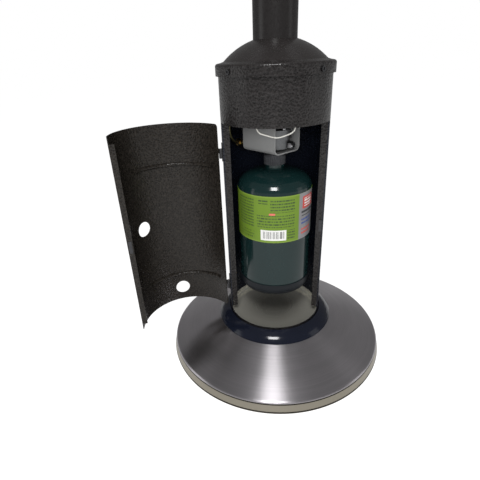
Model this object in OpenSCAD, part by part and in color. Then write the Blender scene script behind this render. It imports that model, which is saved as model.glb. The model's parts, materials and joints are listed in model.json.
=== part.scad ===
// Portable tabletop propane heater with a hinged cylinder housing.
// Millimetres. The origin is the centre of the base, on the surface that it stands on.
// +Z is up and -Y is the front, where the housing opens and the control knob sits.
// The door is drawn open, as it stands when the cylinder is changed.

/* [Base] */
// Outer diameter of the round base
base_d = 320; // [300:5:340]
// Height of the rolled rim of the base cover
rim_h = 19.5; // [17:0.5:24]
// How far the rim leans in from bottom to top
rim_lean = 2.6; // [0:0.2:4]
// Radius of the rounded shoulder above the rim
rim_round = 4; // [2:0.5:6]
// Height of the flat seat in the middle of the base cover
seat_h = 50; // [46:1:56]
// Width of the flat seat around the housing
seat_w = 12.5; // [10:0.5:15]
// Thickness of the spun sheet of the base cover
cover_sheet = 1.2; // [0.8:0.1:1.6]
// Gap between the rim and the surface that the base stands on
rim_lift = 2; // [1:0.5:4]
// Width of the edge that is curled under the bottom plate
curl_w = 5; // [3:0.5:8]
// Thickness of the bottom plate
bottom_plate_t = 1.5; // [1:0.1:2.5]
// Diameter of a rubber foot
foot_d = 22; // [16:1:30]
// Distance from the edge of the base to the centre of each foot
foot_inset = 25; // [20:1:35]
// Number of feet
foot_count = 4; // [3:1:6]
// Thickness of the ballast disc
ballast_t = 8; // [5:0.5:12]
// How far the edge of the ballast disc stays inside the edge of the base
ballast_inset = 15; // [12:1:25]
// Width of the ballast's raised ring
ballast_ring_w = 14; // [12:1:18]
// Width of the collar ring around the foot of the housing
collar_w = 17.8; // [16:0.1:20]
// Height of the collar ring above the seat
collar_h = 11.5; // [9:0.5:14]
// How far the collar ring's slope bulges
collar_bulge = 1; // [0:0.1:2]

/* [Housing] */
// Outer diameter of the cylinder housing
housing_d = 135; // [132:0.5:138]
// Thickness of the housing sheet
housing_sheet = 1.2; // [1:0.1:1.6]
// Height of the top edge of the housing above the table
housing_top = 398; // [394:1:404]
// Width of the flange turned in at the foot of the housing
foot_flange_w = 14; // [12:0.5:16]
// Height of the floor pan's rim above the seat
pan_rim_h = 10; // [8:0.5:12]
// Thickness of the floor pan
pan_sheet = 1; // [0.8:0.1:1.5]
// Radius of the floor pan's corner
pan_round = 4; // [2:0.5:6]
// Angle at which the door opening starts, on the hinge side
opening_start = 195; // [190:1:200]
// Angle at which the door opening ends
opening_end = 346.5; // [340:0.5:350]
// Height of the sill of the door opening above the seat
sill_h = 12.5; // [11:0.5:18]
// Height of the head of the door opening above the table
opening_top = 336; // [330:1:342]
// Width of the flanges turned in beside the opening
side_flange_w = 8.5; // [7:0.5:10]
// Height of the support plate above the table
support_z = 386; // [382:1:390]
// Thickness of the support plate
support_t = 1.5; // [1.2:0.1:2.5]
// Height of the support plate's upturned rim
support_rim_h = 10; // [8:0.5:11]

/* [Lid] */
// How far the lid's lip stands out from the housing
lid_out = 2.9; // [2.5:0.1:4.5]
// Depth of the lid's lip, down from the shoulder
lip_h = 13; // [11:0.5:16]
// Radius of the lip's rounded top edge
lip_round = 3; // [2:0.2:4]
// Width of the lid's shoulder around the dome
dome_inset = 9.9; // [8:0.1:12]
// Radius of the dome
dome_r = 85.6; // [80:0.4:96]
// How far the flat shoulder rises towards the dome
shoulder_rise = 1.8; // [1:0.1:3]
// Thickness of the lid sheet
lid_sheet = 1.2; // [1:0.1:1.6]
// Number of screws that hold the lid
lid_screw_count = 4; // [3:1:6]

/* [Door] */
// How far the door stands open from shut
door_open = 152; // [120:1:165]
// Gap between the door and the opening on the hinge side
door_gap_hinge = 2.1; // [1.8:0.1:3]
// Gap between the door and the opening on the free side
door_gap_free = 1.8; // [1.6:0.1:3]
// Gap between the door and the sill
door_gap_sill = 5.5; // [3:0.5:8]
// Gap between the door and the head of the opening
door_gap_head = 1; // [0.8:0.1:2]
// Width of the flange turned in at the door's free edge
door_flange_w = 6; // [4:0.5:7]
// How far the door's flange stops short of its top and bottom
door_flange_inset = 9; // [6:0.5:14]
// Diameter of the two finger holes
finger_d = 21; // [18:0.5:24]
// Angle of the middle finger hole when the door is shut
finger_angle_mid = 304; // [300:1:308]
// Angle of the low finger hole when the door is shut
finger_angle_low = 263; // [255:1:275]
// Height of the low finger hole above the door's bottom edge
finger_low_h = 21; // [18:1:26]
// Distance of the upper pressed rib below the door's top edge
rib_drop = 53; // [45:1:60]
// Height of the lower pressed rib above the door's bottom edge
rib_rise = 45; // [42:1:60]
// Length of the door's plain border between its hinge side and the ribs
rib_hinge_border = 13; // [8:1:20]
// Length of the door's plain border between its free side and the ribs
rib_free_border = 45; // [30:1:60]
// Half width of a pressed rib
rib_r = 2.6; // [2:0.1:3.2]
// Distance of each hinge from the end of the door
hinge_inset = 36; // [30:1:50]
// Length of one hinge knuckle
knuckle_h = 6; // [5:0.5:9]
// Radius of a hinge knuckle
knuckle_r = 2.4; // [2.2:0.1:2.8]
// Radius of a hinge pin
pin_r = 1.2; // [1:0.1:1.4]
// Thickness of a hinge leaf
leaf_t = 1; // [0.8:0.1:1.2]
// Height of a hinge leaf
leaf_h = 22; // [18:1:28]
// Width of a hinge leaf round the housing
leaf_w = 11.8; // [10:0.1:16]

/* [Pole] */
// Outer diameter of the pole
pole_d = 50.8; // [48:0.4:54]
// Wall of the pole
pole_wall = 1.5; // [1.2:0.1:2]
// Height of the pole's top end above the table
pole_top = 652; // [600:4:760]
// Width of the flange welded round each end of the pole
pole_flange_w = 17; // [15:0.5:19]
// Thickness of the pole's flanges
pole_flange_t = 3; // [2:0.5:4]

/* [Regulator] */
// Angle of the bracket about the upright axis
bracket_turn = 47; // [40:1:55]
// Outer width of the bracket across its legs
bracket_w = 46.4; // [46:0.2:52]
// Distance from the axis to the bracket's open front end
bracket_front = 21.5; // [20:0.5:26]
// Distance from the axis to the bracket's back end
bracket_back = 34.5; // [28:0.5:36]
// Height of the underside of the bracket above the table
bracket_z = 297; // [296:0.5:300]
// Thickness of the bracket
bracket_t = 1.6; // [1.2:0.1:2]
// Outside radius of the bracket's bends
bracket_round = 7; // [4:0.5:9]
// Width of the bracket's feet under the support plate
bracket_foot_w = 12; // [10:0.5:14]
// Radius of the regulator's lower body
reg_body_r = 19; // [16:0.5:19.5]
// Height of the regulator's lower body
reg_body_h = 14.5; // [12:0.5:18]
// Radius of the regulator's diaphragm housing
reg_cap_r = 21; // [20:0.2:21.2]
// Height of the regulator's diaphragm housing
reg_cap_h = 10; // [8:0.5:14]
// Height of the regulator's cover above the diaphragm housing
reg_cover_h = 8; // [6:0.5:10]
// Direction of the gas outlet
outlet_angle = 162; // [158:1:166]
// Height of the gas outlet above the bracket's underside
outlet_rise = 8.5; // [7:0.5:10]
// Distance from the housing's wall to the end of the brass outlet fitting
outlet_gap = 19.3; // [18.5:0.1:22]
// Length of the brass flare nut on the outlet
flare_nut_l = 5.5; // [5:0.5:7]
// Size of the flare nut across its corners
flare_nut_d = 10.4; // [9:0.2:12]
// Outer diameter of the gas tube
gas_tube_d = 3.8; // [3:0.2:4.4]
// Outer radius of the knurled inlet nut
inlet_nut_r = 14.2; // [14:0.1:15.5]
// Height of the knurled inlet nut
inlet_nut_h = 13; // [12:0.5:14]

/* [Gas cylinder] */
// Outer diameter of the gas cylinder
cylinder_d = 99; // [94:0.5:102]
// Height of the straight wall and the bottom
cylinder_wall_h = 149; // [120:1:155]
// Height of the shoulder
shoulder_h = 23; // [20:1:27]
// Gap between the top of the shoulder and the inlet nut
neck_gap = 6; // [4:0.5:9]
// Wall of the gas cylinder
cylinder_wall = 1.2; // [1:0.1:2]
// Radius of the valve collar's thread
valve_collar_r = 12.5; // [12:0.1:12.7]
// Height of the plastic foot cup
cup_h = 19; // [14:1:26]
// Thickness of the plastic foot cup
cup_t = 0.9; // [0.6:0.1:1.4]
// Height of the label
label_h = 63.4; // [50:0.2:66]
// Distance from the label's top edge to the end of the straight wall
label_drop = 0.4; // [0.2:0.2:4]
// Thickness of the label
label_t = 0.3; // [0.2:0.1:0.5]

/* [Burner head] */
// Outer diameter of the head's drum
drum_d = 120; // [116:1:128]
// Height of the drum
drum_h = 70; // [66:1:80]
// Thickness of the drum's sheet
drum_sheet = 1.2; // [1:0.1:1.6]
// Radius of the drum's bottom corner
drum_round = 6; // [4:0.5:9]
// Width of the control panel
panel_w = 92; // [88:1:98]
// Height of the control panel
panel_h = 44; // [42:1:48]
// Distance of the panel's face in front of the drum
panel_out = 6.5; // [5:0.5:9]
// Diameter of the control knob
knob_d = 38; // [32:1:42]
// Depth of the control knob
knob_l = 18; // [15:0.5:22]
// How far the knob is pushed in to light the heater
knob_travel = 5; // [4:0.5:6]
// Radius of the valve's stem
stem_r = 4; // [3:0.2:4.4]
// Distance from the knob to the igniter button
igniter_x = 32; // [31:0.5:35]
// Radius of the igniter button
button_r = 6; // [5:0.5:6.5]
// Travel of the igniter button
button_travel = 6; // [4:0.5:6.5]
// Diameter of the burner
burner_d = 76; // [68:1:80]
// Height of the burner
burner_h = 16; // [12:1:20]
// Diameter of the emitter screen at its foot
emitter_foot_d = 112; // [108:1:114]
// Diameter of the emitter screen at its top
emitter_top_d = 98; // [92:1:108]
// Height of the emitter screen
emitter_h = 128; // [110:1:150]
// Thickness of the emitter screen
emitter_sheet = 0.8; // [0.6:0.1:1.2]
// Radius of the emitter screen's holes
emitter_hole_r = 4.2; // [3:0.1:4.6]

/* [Reflector] */
// Outer diameter of the reflector
reflector_d = 500; // [460:5:540]
// How far the reflector falls from its centre to its edge
reflector_fall = 38; // [30:1:50]
// Diameter of the reflector's flat centre
reflector_flat_d = 110; // [100:1:130]
// Thickness of the reflector's sheet
reflector_sheet = 1.2; // [1:0.1:1.6]
// Height of the reflector's flat centre above the emitter's cap
reflector_gap = 30; // [24:1:50]
// Number of posts that carry the reflector
post_count = 3; // [3:1:5]
// Radius of a reflector post
post_r = 3.5; // [3:0.1:4.5]

/* [Fits and fasteners] */
// Gap around parts that slide over each other
slide_gap = 0.2; // [0.15:0.05:0.3]
// Radial gap between a running shaft and its bore
run_gap = 0.06; // [0.05:0.01:0.1]
// Gap between faces that must not touch
face_gap = 0.3; // [0.25:0.05:0.5]
// Radius of the larger screws' shanks
bolt_r = 2.5; // [2:0.1:2.8]
// Radius of the smaller screws' shanks
screw_r = 1.6; // [1.4:0.1:2]
// How far cuts run past the solids that they cut
over = 1; // [0.5:0.1:2]

/* [Hidden] */
$fn = 96;

// Places that follow from the sizes above
base_r = base_d / 2;
housing_r = housing_d / 2;
seat_r = housing_r + seat_w;
housing_ir = housing_r - housing_sheet;
lid_r = housing_r + lid_out;
dome_foot_r = lid_r - dome_inset;
pole_r = pole_d / 2;
pole_ir = pole_r - pole_wall;
cylinder_r = cylinder_d / 2;
drum_r = drum_d / 2;
drum_ir = drum_r - drum_sheet;
plate_z = rim_lift + cover_sheet;
ballast_z = plate_z + bottom_plate_t;
pan_z = seat_h + housing_sheet;
sill_z = seat_h + sill_h;
lid_shoulder_z = housing_top + slide_gap + lid_sheet + lip_round / 2;
lid_lip_z = lid_shoulder_z - lip_h;
dome_foot_z = lid_shoulder_z + shoulder_rise;
dome_centre_z = dome_foot_z - sqrt(dome_r * dome_r - dome_foot_r * dome_foot_r);
pole_z = support_z + support_t;
drum_z = pole_top - pole_wall * 6;
drum_top = drum_z + drum_h;
shield_z = drum_top;
emitter_z = shield_z + drum_sheet;
emitter_top = emitter_z + emitter_h;
reflector_z = emitter_top + drum_sheet + reflector_gap;

// Screw shares and small parts
head_share = 1.8;
head_h_share = 1.1;
socket_share = 0.9;

// The angle that an arc of length l takes on the housing's surface
function arc_angle(l) = l / (PI * housing_r) * 180;

// A point at an angle, a radius and a height
function polar(a, r, z) = [r * cos(a), r * sin(a), z];

// Points of an arc in the plane, from one angle to another in n steps
function arc_points(cx, cy, r, a0, a1, n) =
    [for (i = [0:n]) let(a = a0 + (a1 - a0) * i / n) [cx + r * cos(a), cy + r * sin(a)]];

// Direction of a path at point i
function path_dir(p, i) =
    let(d = p[min(i + 1, len(p) - 1)] - p[max(i - 1, 0)]) d / norm(d);

// Closed outline of a sheet that lies to the left of a path
function sheet_outline(p, t) =
    concat(p, [for (i = [len(p) - 1:-1:0]) let(d = path_dir(p, i)) p[i] + t * [-d[1], d[0]]]);

// Smooth curve through points, with n steps between each pair
function spline_at(a, b, c, d, t) =
    (2 * b + (c - a) * t + (2 * a - 5 * b + 4 * c - d) * t * t + (3 * b - a - 3 * c + d) * t * t * t) / 2;
function smooth_path(p, n) = concat(
    [for (i = [0:len(p) - 2]) for (k = [0:n - 1])
        spline_at(p[max(i - 1, 0)], p[i], p[i + 1], p[min(i + 2, len(p) - 1)], k / n)],
    [p[len(p) - 1]]);

// Side directions carried along a path without twist
function side_dirs(p, u, i = 0, acc = []) =
    i == len(p) ? acc :
    let(t = path_dir(p, i), v = u - (u * t) * t, w = v / norm(v))
    side_dirs(p, w, i + 1, concat(acc, [w]));

// Round tube of radius r along a path, with a number of sides
module tube_along(p, r, sides, u = [1, 0, 0]) {
    n = len(p);
    dirs = side_dirs(p, u);
    points = [for (i = [0:n - 1]) let(t = path_dir(p, i), a = dirs[i], b = cross(t, a))
        for (k = [0:sides - 1]) let(q = k * 360 / sides) p[i] + r * (cos(q) * a + sin(q) * b)];
    walls = [for (i = [0:n - 2]) for (k = [0:sides - 1])
        let(k2 = (k + 1) % sides, a = i * sides + k, b = i * sides + k2)
        for (f = [[a, a + sides, b], [b, a + sides, b + sides]]) f];
    first = [for (k = [1:sides - 2]) [0, k, k + 1]];
    last = [for (k = [1:sides - 2]) let(e = (n - 1) * sides) [e, e + k + 1, e + k]];
    polyhedron(points = points, faces = concat(walls, first, last), convexity = 8);
}

// Tube with a straight bore, from z0 to z1
module ring(ro, ri, z0, z1) {
    translate([0, 0, z0]) difference() {
        cylinder(r = ro, h = z1 - z0);
        translate([0, 0, -over]) cylinder(r = ri, h = z1 - z0 + 2 * over);
    }
}

// Upright disc from z0 to z1
module disc(r, z0, z1) {
    translate([0, 0, z0]) cylinder(r = r, h = z1 - z0);
}

// Wedge of a disc between two angles, from z0 to z1
module sector(a0, a1, r, z0, z1) {
    translate([0, 0, z0]) linear_extrude(z1 - z0)
        polygon(concat([[0, 0]], arc_points(0, 0, r, a0, a1, 12)));
}

// Screw that points down, with its head on the plane z = 0
module screw(r, length) {
    difference() {
        cylinder(r = r * head_share, h = r * head_h_share, $fn = 32);
        translate([0, 0, r * head_h_share / 2])
            cylinder(r = r * socket_share, h = r * head_h_share, $fn = 6);
    }
    translate([0, 0, -length]) cylinder(r = r, h = length + r * head_h_share / 4, $fn = 32);
}

// Hexagon nut with a bore, from z = 0 upwards
module hex_nut(r, bore, h) {
    difference() {
        cylinder(r = r, h = h, $fn = 6);
        translate([0, 0, -over]) cylinder(r = bore, h = h + 2 * over, $fn = 32);
    }
}

// Copies of the children around the upright axis
module around(count, first = 0) {
    for (i = [0:count - 1]) rotate([0, 0, first + i * 360 / count]) children();
}

// Base
rim_top_r = base_r - rim_lean;
cone_slope = atan2(seat_h - rim_h, rim_top_r - seat_r);
curl_round = curl_w / 4;
cover_path = concat(
    [[base_r - curl_w, rim_lift]],
    arc_points(base_r - curl_round, rim_lift + curl_round, curl_round, -90, 0, 4),
    arc_points(rim_top_r - rim_round, rim_h - rim_round, rim_round, 0, 90 - cone_slope, 5),
    [[seat_r, seat_h], [ballast_ring_w, seat_h]]);
ballast_ring_r = housing_ir - ballast_ring_w / 6;
base_bolt_circle = ballast_ring_r - ballast_ring_w / 2;
base_bolt_l = pan_z - plate_z - face_gap;

module feet() color([0.06, 0.06, 0.06]) around(foot_count, 45) translate([base_r - foot_inset, 0, 0])
    difference() {
        cylinder(r1 = foot_d / 2 - plate_z / 4, r2 = foot_d / 2, h = plate_z, $fn = 48);
        translate([0, 0, -over]) cylinder(r = foot_d / 4, h = plate_z / 2 + over, $fn = 32);
    }

module base_bolt_holes(r, z, h) around(4, 45) translate([base_bolt_circle, 0, z])
    cylinder(r = r, h = h, $fn = 32);

module base_plate() color([0.3, 0.3, 0.32]) difference() {
    ring(base_r - curl_w / 2, ballast_ring_w, plate_z, ballast_z);
    base_bolt_holes(bolt_r + slide_gap, plate_z - over, bottom_plate_t + 2 * over);
}

module ballast() color([0.2, 0.2, 0.2]) difference() {
    union() {
        disc(base_r - ballast_inset, ballast_z, ballast_z + ballast_t);
        disc(ballast_ring_r, ballast_z, seat_h - cover_sheet - slide_gap);
    }
    disc(ballast_ring_r - ballast_ring_w, ballast_z - over, seat_h + over);
    base_bolt_holes(bolt_r + run_gap, ballast_z - over, seat_h);
}

module base_cover() color([0.55, 0.54, 0.52]) difference() {
    rotate_extrude() polygon(sheet_outline(cover_path, cover_sheet));
    base_bolt_holes(bolt_r + slide_gap, seat_h / 2, seat_h);
}

collar_r = housing_r + collar_w;
collar_in = housing_r + 3 * slide_gap;
collar_lip = collar_h / 9;
collar_foot_z = seat_h - (collar_r - seat_r) * tan(cone_slope) + face_gap;
collar_steps = 6;
module collar_ring() color([0.02, 0.02, 0.05]) rotate_extrude() polygon(concat(
    [[collar_in, seat_h], [collar_in, seat_h + collar_h - collar_lip],
     [collar_in + collar_lip / 2, seat_h + collar_h - collar_lip / 4],
     [collar_in + collar_lip, seat_h + collar_h]],
    [for (i = [1:collar_steps]) let(t = i / collar_steps)
        [collar_in + collar_lip + (collar_r - collar_in - collar_lip) * t + collar_bulge * sin(180 * t),
         seat_h + collar_h + (collar_foot_z + collar_lip / 2 - seat_h - collar_h) * t
            + collar_bulge * sin(180 * t)]],
    [[collar_r, collar_foot_z], [seat_r, seat_h + face_gap], [seat_r - face_gap, seat_h]]));

pan_r = housing_ir - 3 * slide_gap;
module floor_pan() color([0.82, 0.8, 0.74]) rotate_extrude() polygon(sheet_outline(concat([[0, pan_z]],
    arc_points(pan_r - pan_round, pan_z + pan_round, pan_round, -90, 0, 5),
    [[pan_r, seat_h + pan_rim_h]]), pan_sheet));

// Bolts from below, through the plate, the ballast and the cover into the housing's foot flange
module base_bolts() color([0.6, 0.6, 0.6]) around(4, 45)
    translate([base_bolt_circle, 0, plate_z]) rotate([180, 0, 0]) screw(bolt_r, base_bolt_l);

// Housing
lid_screw_z = lid_lip_z + lip_h * 0.4;
lid_screw_l = lid_r - housing_ir + 2 * support_t;

// Flange beside the opening, before the opening is cut; side is where it lies from the line at this angle
module side_flange(a, side) rotate([0, 0, a])
    translate([housing_ir - side_flange_w, side > 0 ? -over : -housing_sheet, sill_z + housing_sheet])
        cube([side_flange_w + housing_sheet / 2, housing_sheet + over,
            opening_top - sill_z - 2 * housing_sheet]);

module lid_screw_holes(r) around(lid_screw_count, 45) translate([0, 0, lid_screw_z])
    rotate([0, 90, 0]) cylinder(r = r, h = lid_r + over, $fn = 32);

module housing_shell() color([0.17, 0.15, 0.14]) difference() {
    union() {
        rotate_extrude() polygon([[housing_ir - foot_flange_w, seat_h], [housing_r, seat_h],
            [housing_r, housing_top], [housing_ir, housing_top], [housing_ir, pan_z],
            [housing_ir - foot_flange_w, pan_z]]);
        side_flange(opening_start, -1);
        side_flange(opening_end, 1);
    }
    sector(opening_start, opening_end, housing_d, sill_z, opening_top);
    base_bolt_holes(bolt_r + slide_gap, seat_h - over, housing_sheet + 2 * over);
    lid_screw_holes(screw_r + slide_gap);
}

dome_hole_r = pole_r + 2 * slide_gap;
lid_path = concat(
    [[lid_r, lid_lip_z]],
    arc_points(lid_r - lip_round, lid_shoulder_z - lip_round, lip_round, 0, 80, 5),
    [[lid_r - 2 * lip_round, lid_shoulder_z + shoulder_rise / 3]],
    arc_points(0, dome_centre_z, dome_r, acos(dome_foot_r / dome_r), acos(dome_hole_r / dome_r), 10));
module housing_lid() color([0.17, 0.15, 0.14]) difference() {
    rotate_extrude() polygon(sheet_outline(lid_path, lid_sheet));
    lid_screw_holes(screw_r + slide_gap);
}

module lid_screws() color([0.1, 0.1, 0.1]) around(lid_screw_count, 45)
    translate([lid_r, 0, lid_screw_z]) rotate([0, 90, 0]) screw(screw_r, lid_screw_l);

support_r = housing_ir - slide_gap;
support_hole_r = pole_ir * 0.84;
bracket_foot_u = bracket_w / 2 + bracket_foot_w / 2;
bracket_bolt_vs = [-bracket_front / 3, bracket_back * 0.6];
pole_bolt_circle = pole_r + pole_flange_w / 2;
pole_bolt_l = pole_flange_t + support_t * 0.9;

module bracket_frame() rotate([0, 0, bracket_turn]) children();

module bracket_holes(r, z, h) bracket_frame() for (u = [-1, 1], v = bracket_bolt_vs)
    translate([u * bracket_foot_u, v, z]) cylinder(r = r, h = h, $fn = 32);

module support_plate() color([0.45, 0.45, 0.46]) difference() {
    union() {
        ring(support_r, support_hole_r, support_z, pole_z);
        ring(support_r, support_r - support_t, support_z, support_z + support_rim_h);
    }
    bracket_holes(screw_r + slide_gap, support_z - over, support_t + 2 * over);
    around(4, 0) translate([pole_bolt_circle, 0, support_z - over])
        cylinder(r = bolt_r + run_gap, h = support_t + 2 * over, $fn = 32);
    lid_screw_holes(screw_r + run_gap);
}

module pole() color([0.17, 0.15, 0.14]) ring(pole_r, pole_ir, pole_z, pole_top);

// Flanges welded round the ends of the pole; the upper one carries the drum
module pole_flanges() color([0.17, 0.15, 0.14]) for (z = [pole_z, drum_z - pole_flange_t]) difference() {
    ring(pole_r + pole_flange_w, pole_r, z, z + pole_flange_t);
    around(4, 0) translate([pole_bolt_circle, 0, z - over])
        cylinder(r = bolt_r + slide_gap, h = pole_flange_t + 2 * over, $fn = 32);
}

// One kind of bolt holds the lower flange to the support plate and the drum to the upper flange
module pole_bolts() color([0.6, 0.6, 0.6]) for (z = [pole_z + pole_flange_t, drum_z + drum_sheet])
    around(4, 0) translate([pole_bolt_circle, 0, z]) screw(bolt_r, pole_bolt_l);

// Door, drawn shut and then swung open about its hinge pins
hinge_out = knuckle_r + slide_gap;
hinge_r = housing_r + hinge_out;
hinge_angle = opening_start + arc_angle(door_gap_hinge) / 2;
hinge_at = polar(hinge_angle, hinge_r, 0);
door_start = opening_start + arc_angle(door_gap_hinge);
door_end = opening_end - arc_angle(door_gap_free);
door_z0 = sill_z + door_gap_sill;
door_z1 = opening_top - door_gap_head;
door_mid_z = (door_z0 + door_z1) / 2;
rib_start = door_start + arc_angle(rib_hinge_border);
rib_end = door_end - arc_angle(rib_free_border);
corner_r = finger_d / 4;
corner_share = 0.95;
hinge_zs = [door_z0 + hinge_inset, door_z1 - hinge_inset];
leaf_span = arc_angle(leaf_w);
leaf_setback = knuckle_r + face_gap;

module swing() translate(hinge_at) rotate([0, 0, -door_open]) translate(-hinge_at) children();

// Pressed rib: a ridge outside and the matching groove inside
module rib_ring(r, z) translate([0, 0, z]) rotate([0, 0, rib_start])
    rotate_extrude(angle = rib_end - rib_start) translate([housing_r - rib_r / 2, 0]) circle(r = r, $fn = 24);

// What is cut from a door corner to round it; up is 1 at the top and -1 at the bottom
module corner_cut(z, up) rotate([0, 0, door_start]) translate([housing_ir - over, 0, z]) difference() {
    translate([0, -corner_r, -corner_r]) cube([housing_sheet + 2 * over, 2 * corner_r, 2 * corner_r]);
    translate([-over, corner_r * corner_share, -up * corner_r * corner_share]) rotate([0, 90, 0])
        cylinder(r = corner_r, h = housing_sheet + 4 * over, $fn = 32);
}

module finger_hole(a, z) rotate([0, 0, a]) translate([housing_ir - 2 * rib_r, 0, z]) rotate([0, 90, 0])
    cylinder(r = finger_d / 2, h = 4 * rib_r, $fn = 48);

module door_panel() color([0.17, 0.15, 0.14]) swing() difference() {
    union() {
        intersection() {
            union() {
                ring(housing_r, housing_ir, door_z0, door_z1);
                rotate([0, 0, door_end])
                    translate([housing_ir - door_flange_w, -housing_sheet, door_z0 + door_flange_inset])
                        cube([door_flange_w + housing_sheet / 2, housing_sheet + over,
                            door_z1 - door_z0 - 2 * door_flange_inset]);
            }
            sector(door_start, door_end, housing_d, door_z0 - over, door_z1 + over);
        }
        for (z = [door_z0 + rib_rise, door_z1 - rib_drop]) rib_ring(rib_r, z);
    }
    for (z = [door_z0 + rib_rise, door_z1 - rib_drop]) rib_ring(rib_r - housing_sheet, z);
    finger_hole(finger_angle_mid, door_mid_z);
    finger_hole(finger_angle_low, door_z0 + finger_low_h);
    corner_cut(door_z1, 1);
    corner_cut(door_z0, -1);
}

// Hinge leaf on the sheet between two angles, with one knuckle on the pin.
// side is 1 for the door's leaf, whose knuckle is the upper one, and -1 for the housing's
module hinge_leaf(a0, a1, z, side) {
    intersection() {
        ring(housing_r + leaf_t, housing_r, z - leaf_h / 2, z + leaf_h / 2);
        sector(a0, a1, housing_d, z - leaf_h, z + leaf_h);
    }
    translate([hinge_at[0], hinge_at[1], side > 0 ? z + face_gap / 2 : z - knuckle_h])
        rotate([0, 0, hinge_angle]) difference() {
            union() {
                cylinder(r = knuckle_r, h = knuckle_h - face_gap / 2, $fn = 32);
                translate([leaf_t / 2 - hinge_out, side > 0 ? 0 : -leaf_setback - leaf_t, 0])
                    cube([hinge_out - leaf_t / 2, leaf_setback + leaf_t, knuckle_h - face_gap / 2]);
            }
            translate([0, 0, -over]) cylinder(r = pin_r + run_gap, h = knuckle_h + 2 * over, $fn = 32);
        }
}

module door_hinge_leaves() color([0.15, 0.13, 0.12]) swing() for (z = hinge_zs)
    hinge_leaf(hinge_angle + arc_angle(leaf_setback), door_start + leaf_span, z, 1);

module housing_hinge_leaves() color([0.15, 0.13, 0.12]) for (z = hinge_zs)
    hinge_leaf(opening_start - leaf_span, hinge_angle - arc_angle(leaf_setback), z, -1);

module hinge_pins() color([0.5, 0.5, 0.5]) for (z = hinge_zs)
    translate([hinge_at[0], hinge_at[1], z - knuckle_h]) cylinder(r = pin_r, h = 2 * knuckle_h, $fn = 32);

// Magnetic catch: a strike on the door's flange and a magnet on the housing's flange
catch_w = side_flange_w / 2;
catch_h = finger_d * 0.8;
catch_t = door_gap_free * (housing_ir - catch_w) / housing_r - face_gap;
catch_z = door_mid_z - finger_low_h / 5;
magnet_share = 0.7;

module catch_block(y, t) translate([housing_ir - catch_w - face_gap, y, catch_z - catch_h / 2])
    cube([catch_w, t, catch_h]);

module door_strike() color([0.7, 0.7, 0.7]) swing() rotate([0, 0, door_end])
    catch_block(0, catch_t * (1 - magnet_share));

module door_magnet() color([0.25, 0.25, 0.25]) rotate([0, 0, opening_end])
    catch_block(-catch_t * magnet_share, catch_t * magnet_share);

// Regulator, hung from the support plate in a channel that is open at the front and the back
bracket_l = bracket_front + bracket_back;
neck_r = valve_collar_r * 0.48;
shoulder_r = reg_body_r * 0.42;
reg_z = bracket_z + bracket_t;
reg_cap_z = reg_z + reg_body_h;
reg_cover_z = reg_cap_z + reg_cap_h;
nut_z = bracket_z - pole_flange_t - inlet_nut_h;
nut_roof_z = nut_z + inlet_nut_h - bracket_t;
collar_top_z = nut_roof_z - bracket_t;
outlet_z = bracket_z + outlet_rise;
outlet_reach = housing_ir - outlet_gap;
outlet_r = outlet_rise * 0.35;
cover_screw_circle = reg_cap_r * 0.8;
relief_angle = bracket_turn - 72;
relief_r = reg_body_h * 0.36;

function channel_outline(w, r, z0, z1) = concat(
    [[-w / 2, z1]], arc_points(r - w / 2, z0 + r, r, 180, 270, 6),
    arc_points(w / 2 - r, z0 + r, r, 270, 360, 6), [[w / 2, z1]]);

module regulator_bracket() color([0.42, 0.43, 0.43]) difference() {
    bracket_frame() translate([0, -bracket_front, 0]) {
        translate([0, bracket_l, 0]) rotate([90, 0, 0]) linear_extrude(bracket_l) difference() {
            polygon(channel_outline(bracket_w, bracket_round, bracket_z, support_z));
            polygon(channel_outline(bracket_w - 2 * bracket_t, bracket_round - bracket_t,
                bracket_z + bracket_t, support_z + over));
        }
        for (u = [-bracket_w / 2 - bracket_foot_w, bracket_w / 2 - bracket_t])
            translate([u, 0, support_z - bracket_t])
                cube([bracket_foot_w + bracket_t, bracket_l, bracket_t]);
    }
    bracket_holes(screw_r + slide_gap, support_z - bracket_t - over, bracket_t + 2 * over);
    disc(shoulder_r + slide_gap, bracket_z - over, bracket_z + bracket_t + over);
}

module bracket_bolts() color([0.6, 0.6, 0.6]) bracket_frame() for (u = [-1, 1], v = bracket_bolt_vs)
    translate([u * bracket_foot_u, v, support_z - bracket_t]) rotate([180, 0, 0])
        screw(screw_r, bracket_t + support_t * 0.9);

module regulator_body() color([0.33, 0.34, 0.35]) difference() {
    union() {
        translate([0, 0, reg_z])
            cylinder(r1 = reg_body_r - bracket_round / 2, r2 = reg_body_r, h = bracket_round / 2);
        disc(reg_body_r, reg_z + bracket_round / 2, reg_cap_z);
        disc(reg_cap_r, reg_cap_z, reg_cover_z);
        disc(shoulder_r, bracket_z - pole_flange_t, reg_z + bracket_t);
        disc(neck_r, nut_roof_z - 2 * bracket_t, reg_z);
    }
    disc(neck_r / 3, nut_roof_z - 2 * bracket_t - over, reg_z + bracket_t);
    rotate([0, 0, outlet_angle]) translate([reg_body_r * 0.7, 0, outlet_z]) rotate([0, 90, 0])
        cylinder(r = outlet_r + run_gap, h = reg_body_r, $fn = 32);
    rotate([0, 0, relief_angle]) translate([reg_body_r * 0.7, 0, reg_z + reg_body_h / 2]) rotate([0, 90, 0])
        cylinder(r = relief_r * 0.6 + run_gap, h = reg_body_r, $fn = 32);
    around(6, 10) translate([cover_screw_circle, 0, reg_cover_z - reg_cap_h / 2])
        cylinder(r = screw_r + run_gap, h = reg_cap_h, $fn = 24);
}

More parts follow.
